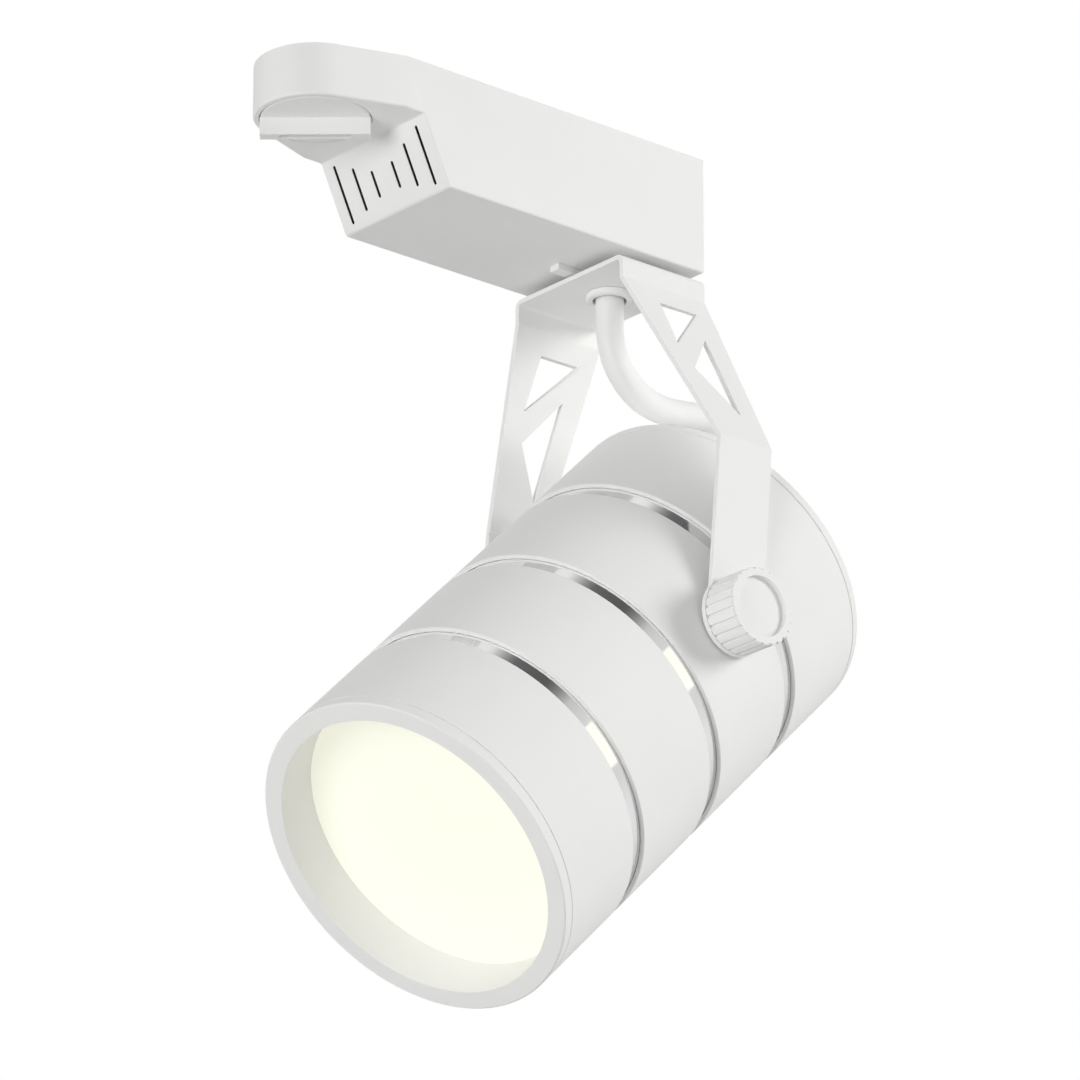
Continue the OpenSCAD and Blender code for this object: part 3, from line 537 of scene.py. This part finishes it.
# name, direction from the object, size, share of the light on a surface that faces it, colour
LIGHTS = [
    ("softbox", SOFTBOX_TOWARD, 0.6, 0.55, (1.0, 1.0, 0.99)),
    ("left_light", (-0.97, -0.20, -0.16), 1.0, 0.49, (1.0, 1.0, 0.995)),
    ("low_front_light", (0.62, -0.70, -0.36), 1.0, 0.08, (1.0, 1.0, 1.0)),
    ("back_light", (0.25, 0.93, 0.27), 1.0, 0.40, (1.0, 1.0, 1.0)),
]

# The surround has an even glow, broad bright areas, and dark flags high in front and behind
AMBIENT = 0.37
# direction, tightness, brightness
GLOWS = [
    ((0.95, -0.255, -0.17), 4, 0.46),
    ((0.0, 0.0, 1.0), 10, 0.45),
    ((0.333, 0.714, 0.616), 5, 0.30),
    ((0.50, -0.71, 0.50), 14, 0.30),
]
# direction, degrees from its middle to where it starts to fade and to where it ends, shade
FLAGS = [
    ((0.05, -0.48, 0.876), 10, 24, 0.22),
    ((0.10, 0.97, 0.22), 17, 19, 0.2),
]

# What the polished tube mirrors of the softbox: a crisp, slightly warm disc
DISC_RADIUS = math.radians(12.5)
DISC_EDGE = math.radians(0.3)
DISC_COLOUR = (1.0, 1.0, 0.88, 1.0)
DISC_BRIGHTNESS = 1.15


def make_lights():
    target = (cad_box[0] + cad_box[1]) / 2
    for name, direction, size, share, colour in LIGHTS:
        outward = Vector(direction).normalized()
        data = bpy.data.lights.new(name, "AREA")
        data.shape = "DISK"
        data.size = size
        data.color = colour
        data.energy = share * math.pi ** 2 * LIGHT_REACH ** 2
        light = bpy.data.objects.new(name, data)
        light.location = target + outward * LIGHT_REACH
        light.rotation_mode = "QUATERNION"
        light.rotation_quaternion = outward.to_track_quat("Z", "Y")
        light.visible_camera = False
        light.visible_glossy = name not in HIDDEN_IN_GLOSS
        scene.collection.objects.link(light)


def toward(tree, direction):
    """The cosine of the angle between a direction of the surround and the given one."""
    ray = put(tree, "TexCoord").outputs["Generated"]
    aim = Vector(direction).normalized()
    return vector_calc(tree, "DOT_PRODUCT", ray, aim, result="Value")


def surround_strength(tree):
    """Brightness of the surround by direction: the even glow, the bright areas, then the flags."""
    total = AMBIENT
    for direction, tightness, brightness in GLOWS:
        facing = calc(tree, "MAXIMUM", toward(tree, direction), 0.0)
        lobe = calc(tree, "POWER", facing, tightness)
        total = calc(tree, "MULTIPLY_ADD", lobe, brightness, total)
    for direction, core, edge, shade in FLAGS:
        fade = math.cos(math.radians(edge)), math.cos(math.radians(core))
        flag = spread(tree, toward(tree, direction), 1.0, shade, *fade)
        total = calc(tree, "MULTIPLY", total, flag)
    return total


def camera_ray(tree):
    """1 for what the camera sees itself, 0 for what lights or reflects in something."""
    return put(tree, "LightPath").outputs["Is Camera Ray"]


def mix_shader(tree, factor, first, second):
    return put(tree, "MixShader", {0: factor, 1: first, 2: second}).outputs["Shader"]


def make_world():
    """White behind the object, and a darker surround, with the disc, for its light and reflections."""
    world = bpy.data.worlds.new("studio")
    world.use_nodes = True
    tree = world.node_tree
    tree.nodes.clear()
    seen = put(tree, "Background", {"Color": WHITE_LIGHT, "Strength": 1.0})
    around = put(tree, "Background", {"Color": WHITE_LIGHT, "Strength": surround_strength(tree)})
    disc = put(tree, "Background", {"Color": DISC_COLOUR, "Strength": DISC_BRIGHTNESS})
    in_disc = spread(tree, toward(tree, SOFTBOX_TOWARD), 0.0, 1.0,
                     math.cos(DISC_RADIUS), math.cos(DISC_RADIUS - DISC_EDGE))
    lit = mix_shader(tree, in_disc, around.outputs["Background"], disc.outputs["Background"])
    chosen = mix_shader(tree, camera_ray(tree), lit, seen.outputs["Background"])
    put(tree, "OutputWorld", {"Surface": chosen})
    scene.world = world


def make_floor():
    """A plain floor that looks paler than the light that it throws back."""
    mesh = bmesh.new()
    bmesh.ops.create_grid(mesh, x_segments=1, y_segments=1, size=FLOOR_HALF)
    data = bpy.data.meshes.new("floor")
    mesh.to_mesh(data)
    mesh.free()
    floor = bpy.data.objects.new("floor", data)
    floor.location.z = FLOOR_Z
    scene.collection.objects.link(floor)
    material = bpy.data.materials.new("floor")
    material.use_nodes = True
    tree = material.node_tree
    tree.nodes.clear()
    shown = put(tree, "BsdfDiffuse", {"Color": FLOOR_SHOWN, "Roughness": FLOOR_ROUGHNESS}).outputs["BSDF"]
    lift = put(tree, "Emission", {"Color": WHITE_LIGHT, "Strength": FLOOR_LIFT}).outputs["Emission"]
    pale = put(tree, "AddShader", {0: shown, 1: lift}).outputs["Shader"]
    bounce = put(tree, "BsdfDiffuse", {"Color": FLOOR_BOUNCE, "Roughness": FLOOR_ROUGHNESS}).outputs["BSDF"]
    chosen = mix_shader(tree, camera_ray(tree), bounce, pale)
    put(tree, "OutputMaterial", {"Surface": chosen})
    data.materials.append(material)


make_lights()
make_world()
make_floor()
scene.view_settings.view_transform = "Standard"
